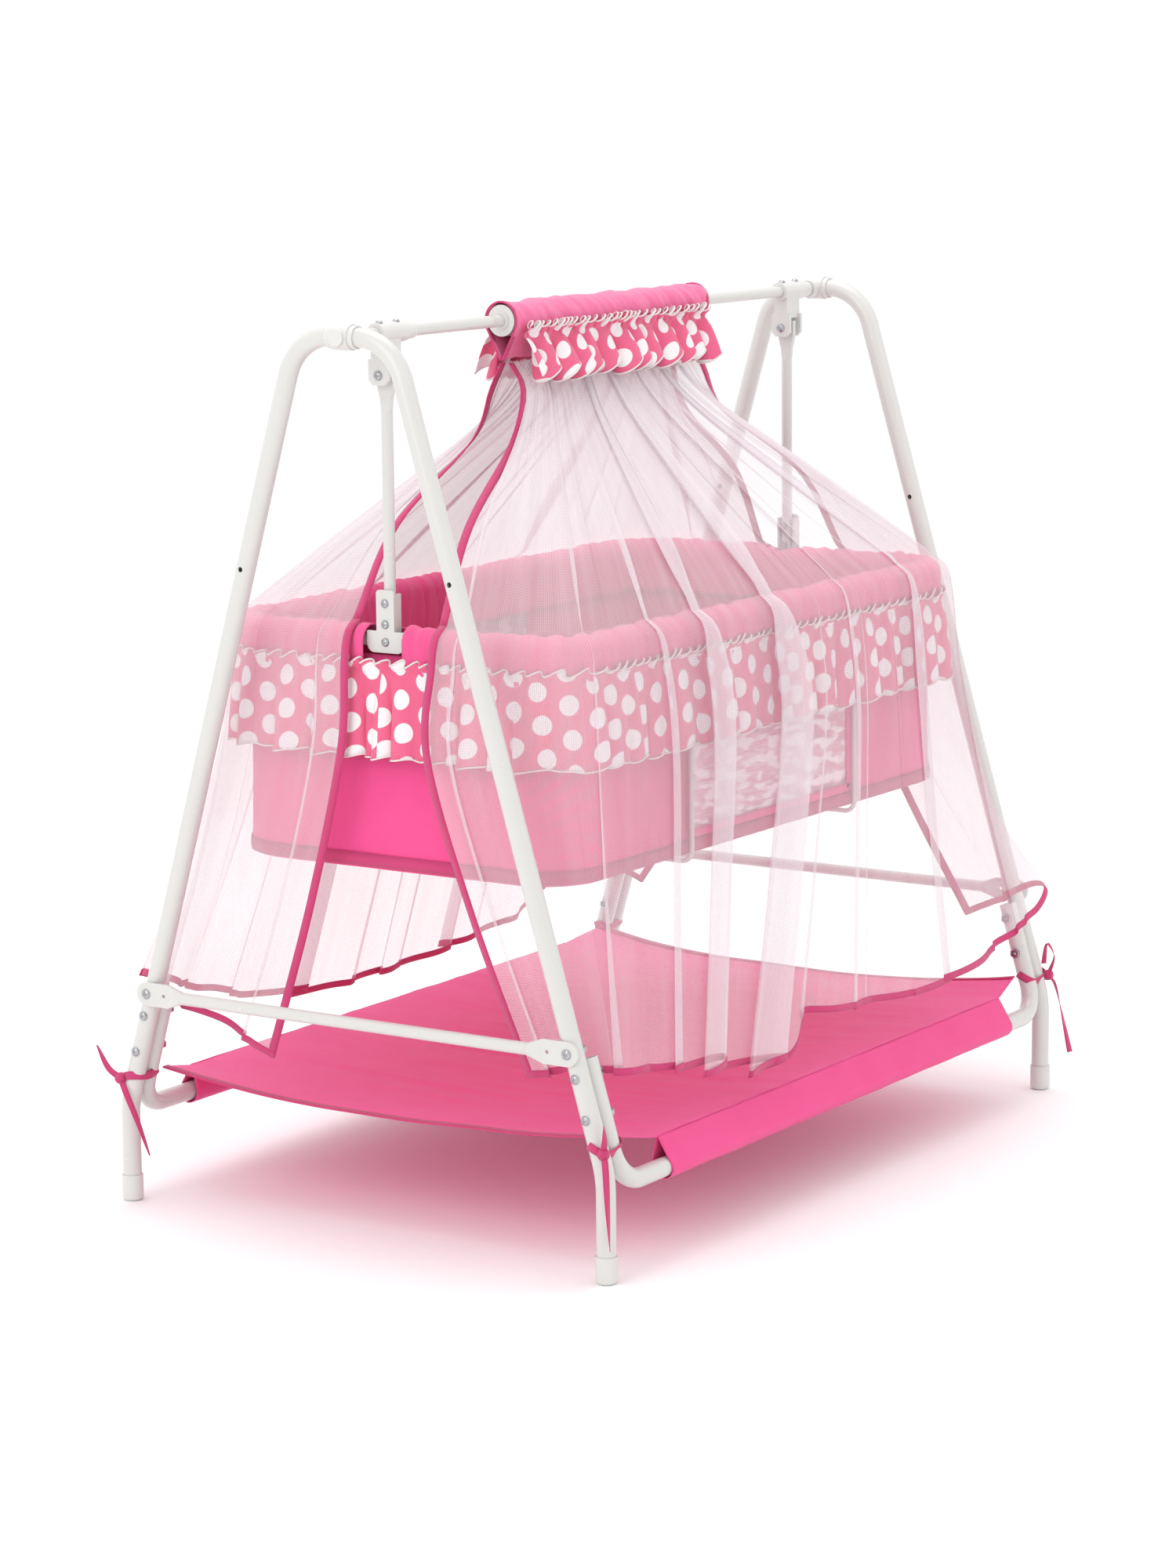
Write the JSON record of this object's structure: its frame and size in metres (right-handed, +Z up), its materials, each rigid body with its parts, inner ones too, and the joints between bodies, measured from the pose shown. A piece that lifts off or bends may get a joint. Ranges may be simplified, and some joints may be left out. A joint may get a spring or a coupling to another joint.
{
  "type": "baby cradle",
  "caption": "Swinging cradle: tubular A-frame stand, hanging fabric basket with gathered ruffle, parted net canopy and lower storage sheet.",
  "frame": {"origin": "floor level, midway between the four feet", "axes": "+Z up; +X along the top bar, towards the right end; -Y is the front long side"},
  "size_m": [0.9666, 0.674, 0.942],
  "materials": {
    "white_paint": "glossy powder coat",
    "zinc_screws": "bright zinc plate",
    "white_plastic": "moulded, semi-gloss",
    "pink_cloth": "smooth woven cotton blend",
    "binding_cloth": "folded woven tape",
    "dotted_cloth": "printed woven cotton blend with white dots",
    "net_cloth": "open knitted net",
    "mattress_cloth": "printed woven cotton blend",
    "core_tube": "matt",
    "board": "raw hardboard"
  },
  "bodies": {
    "stand": {"leg_left_front": "white_paint", "leg_left_back": "white_paint", "leg_right_front": "white_paint", "leg_right_back": "white_paint", "foot_caps": "white_plastic", "apex_connector_left": "white_plastic", "apex_connector_right": "white_plastic", "top_bar": "white_paint", "stretcher_left": "white_paint", "stretcher_right": "white_paint", "stretcher_bolts": "zinc_screws", "stretcher_nuts": "zinc_screws", "side_rail_front": "white_paint", "side_rail_back": "white_paint", "side_rail_bolts": "zinc_screws", "side_rail_nuts": "zinc_screws", "hanger_sleeve_left": "white_plastic", "hanger_sleeve_right": "white_plastic", "sleeve_screws": "zinc_screws", "pivot_bolts": "zinc_screws", "pivot_nuts": "zinc_screws", "canopy_end_cap_left": "white_plastic", "canopy_end_cap_right": "white_plastic", "canopy_core": "core_tube", "canopy_cover": "pink_cloth", "canopy_ruffle_front": "dotted_cloth", "canopy_ruffle_back": "dotted_cloth", "net_front": "net_cloth", "net_back": "net_cloth", "storage_sheet": "pink_cloth", "tie_left_front": "binding_cloth", "tie_left_back": "binding_cloth", "tie_right_front": "binding_cloth", "tie_right_back": "binding_cloth"},
    "cradle": {"hanger_rod_left": "white_paint", "hanger_rod_right": "white_paint", "pivot_bushes": "white_plastic", "hanger_bracket_left": "white_paint", "hanger_bracket_right": "white_paint", "bracket_screws": "zinc_screws", "bracket_nuts": "zinc_screws", "basket_rail": "white_paint", "hoop_left": "white_paint", "hoop_right": "white_paint", "base_board": "board", "mattress": "mattress_cloth", "basket_fabric": "pink_cloth", "window_mesh_front": "net_cloth", "window_mesh_back": "net_cloth", "rim_cover": "pink_cloth", "basket_ruffle": "dotted_cloth"}
  },
  "joints": [
    {"name": "swing", "type": "hinge", "parent": "stand", "child": "cradle", "pos_m": [0, 0, 0.881], "axis": [1, 0, 0], "range_deg": [-20, 20], "deforming": ["net_front", "net_back"]}
  ]
}
